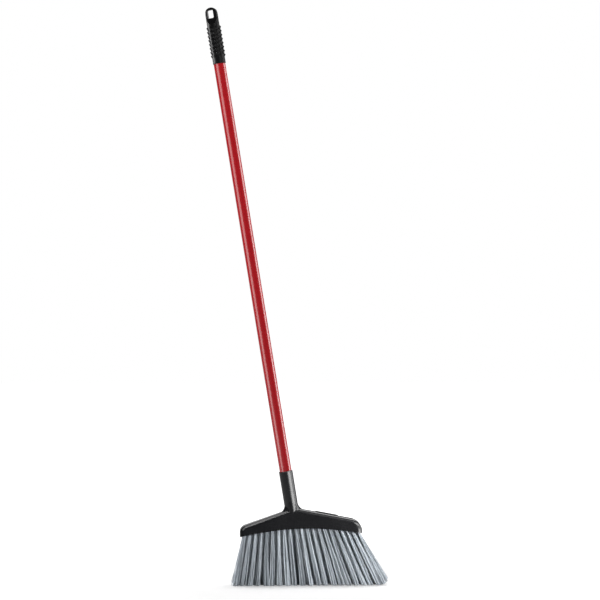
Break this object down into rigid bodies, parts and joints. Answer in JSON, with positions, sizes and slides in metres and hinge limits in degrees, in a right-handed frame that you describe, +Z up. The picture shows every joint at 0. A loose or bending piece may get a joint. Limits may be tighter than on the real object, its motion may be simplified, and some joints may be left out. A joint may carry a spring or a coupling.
{
  "type": "angle broom",
  "caption": "Angle broom: a red tube handle with a nubbed hanger grip screws into the leaning socket of a black moulded block, whose grey bristle tufts fan out to a level sweeping edge.",
  "frame": {"origin": "where the handle's axis meets the floor, on the level sweeping face of the bristles", "axes": "+Z up from the floor, +X to the right in the picture, towards the long shoulder, and -Y to the front; the handle leans 9.2 degrees towards -X"},
  "size_m": [0.442, 0.0616, 1.3822],
  "materials": {
    "red_paint": "gloss red paint over a thin steel tube",
    "grip_black": "black moulded plastic, fine matt texture",
    "tip_black": "black moulded plastic",
    "block_black": "black moulded plastic, satin",
    "bristle_grey": "grey plastic filament, slightly glossy",
    "anchor_steel": "drawn flat wire"
  },
  "bodies": {
    "head": {"broom_block": "block_black", "bristle_row_1": "bristle_grey", "bristle_row_2": "bristle_grey", "bristle_row_3": "bristle_grey", "bristle_row_4": "bristle_grey", "bristle_row_5": "bristle_grey", "tuft_anchors_1": "anchor_steel", "tuft_anchors_2": "anchor_steel", "tuft_anchors_3": "anchor_steel", "tuft_anchors_4": "anchor_steel", "tuft_anchors_5": "anchor_steel"},
    "tube": {"handle_tube": "red_paint"},
    "handle_ends": {"hanger_grip": "grip_black", "threaded_tip": "tip_black"}
  },
  "joints": [
    {"name": "handle_lift", "type": "slide", "parent": "head", "child": "tube", "axis": [-0.1602, 0, 0.9871], "range_m": [0, 0.02921]},
    {"name": "handle_turn", "type": "hinge", "parent": "tube", "child": "handle_ends", "pos_m": [0, 0, 0], "axis": [-0.1602, 0, 0.9871], "range_deg": [0, 2070]}
  ],
  "couplings": [
    {"joint": "handle_turn", "follows": "handle_lift", "rad_per_m": 1236.8}
  ]
}
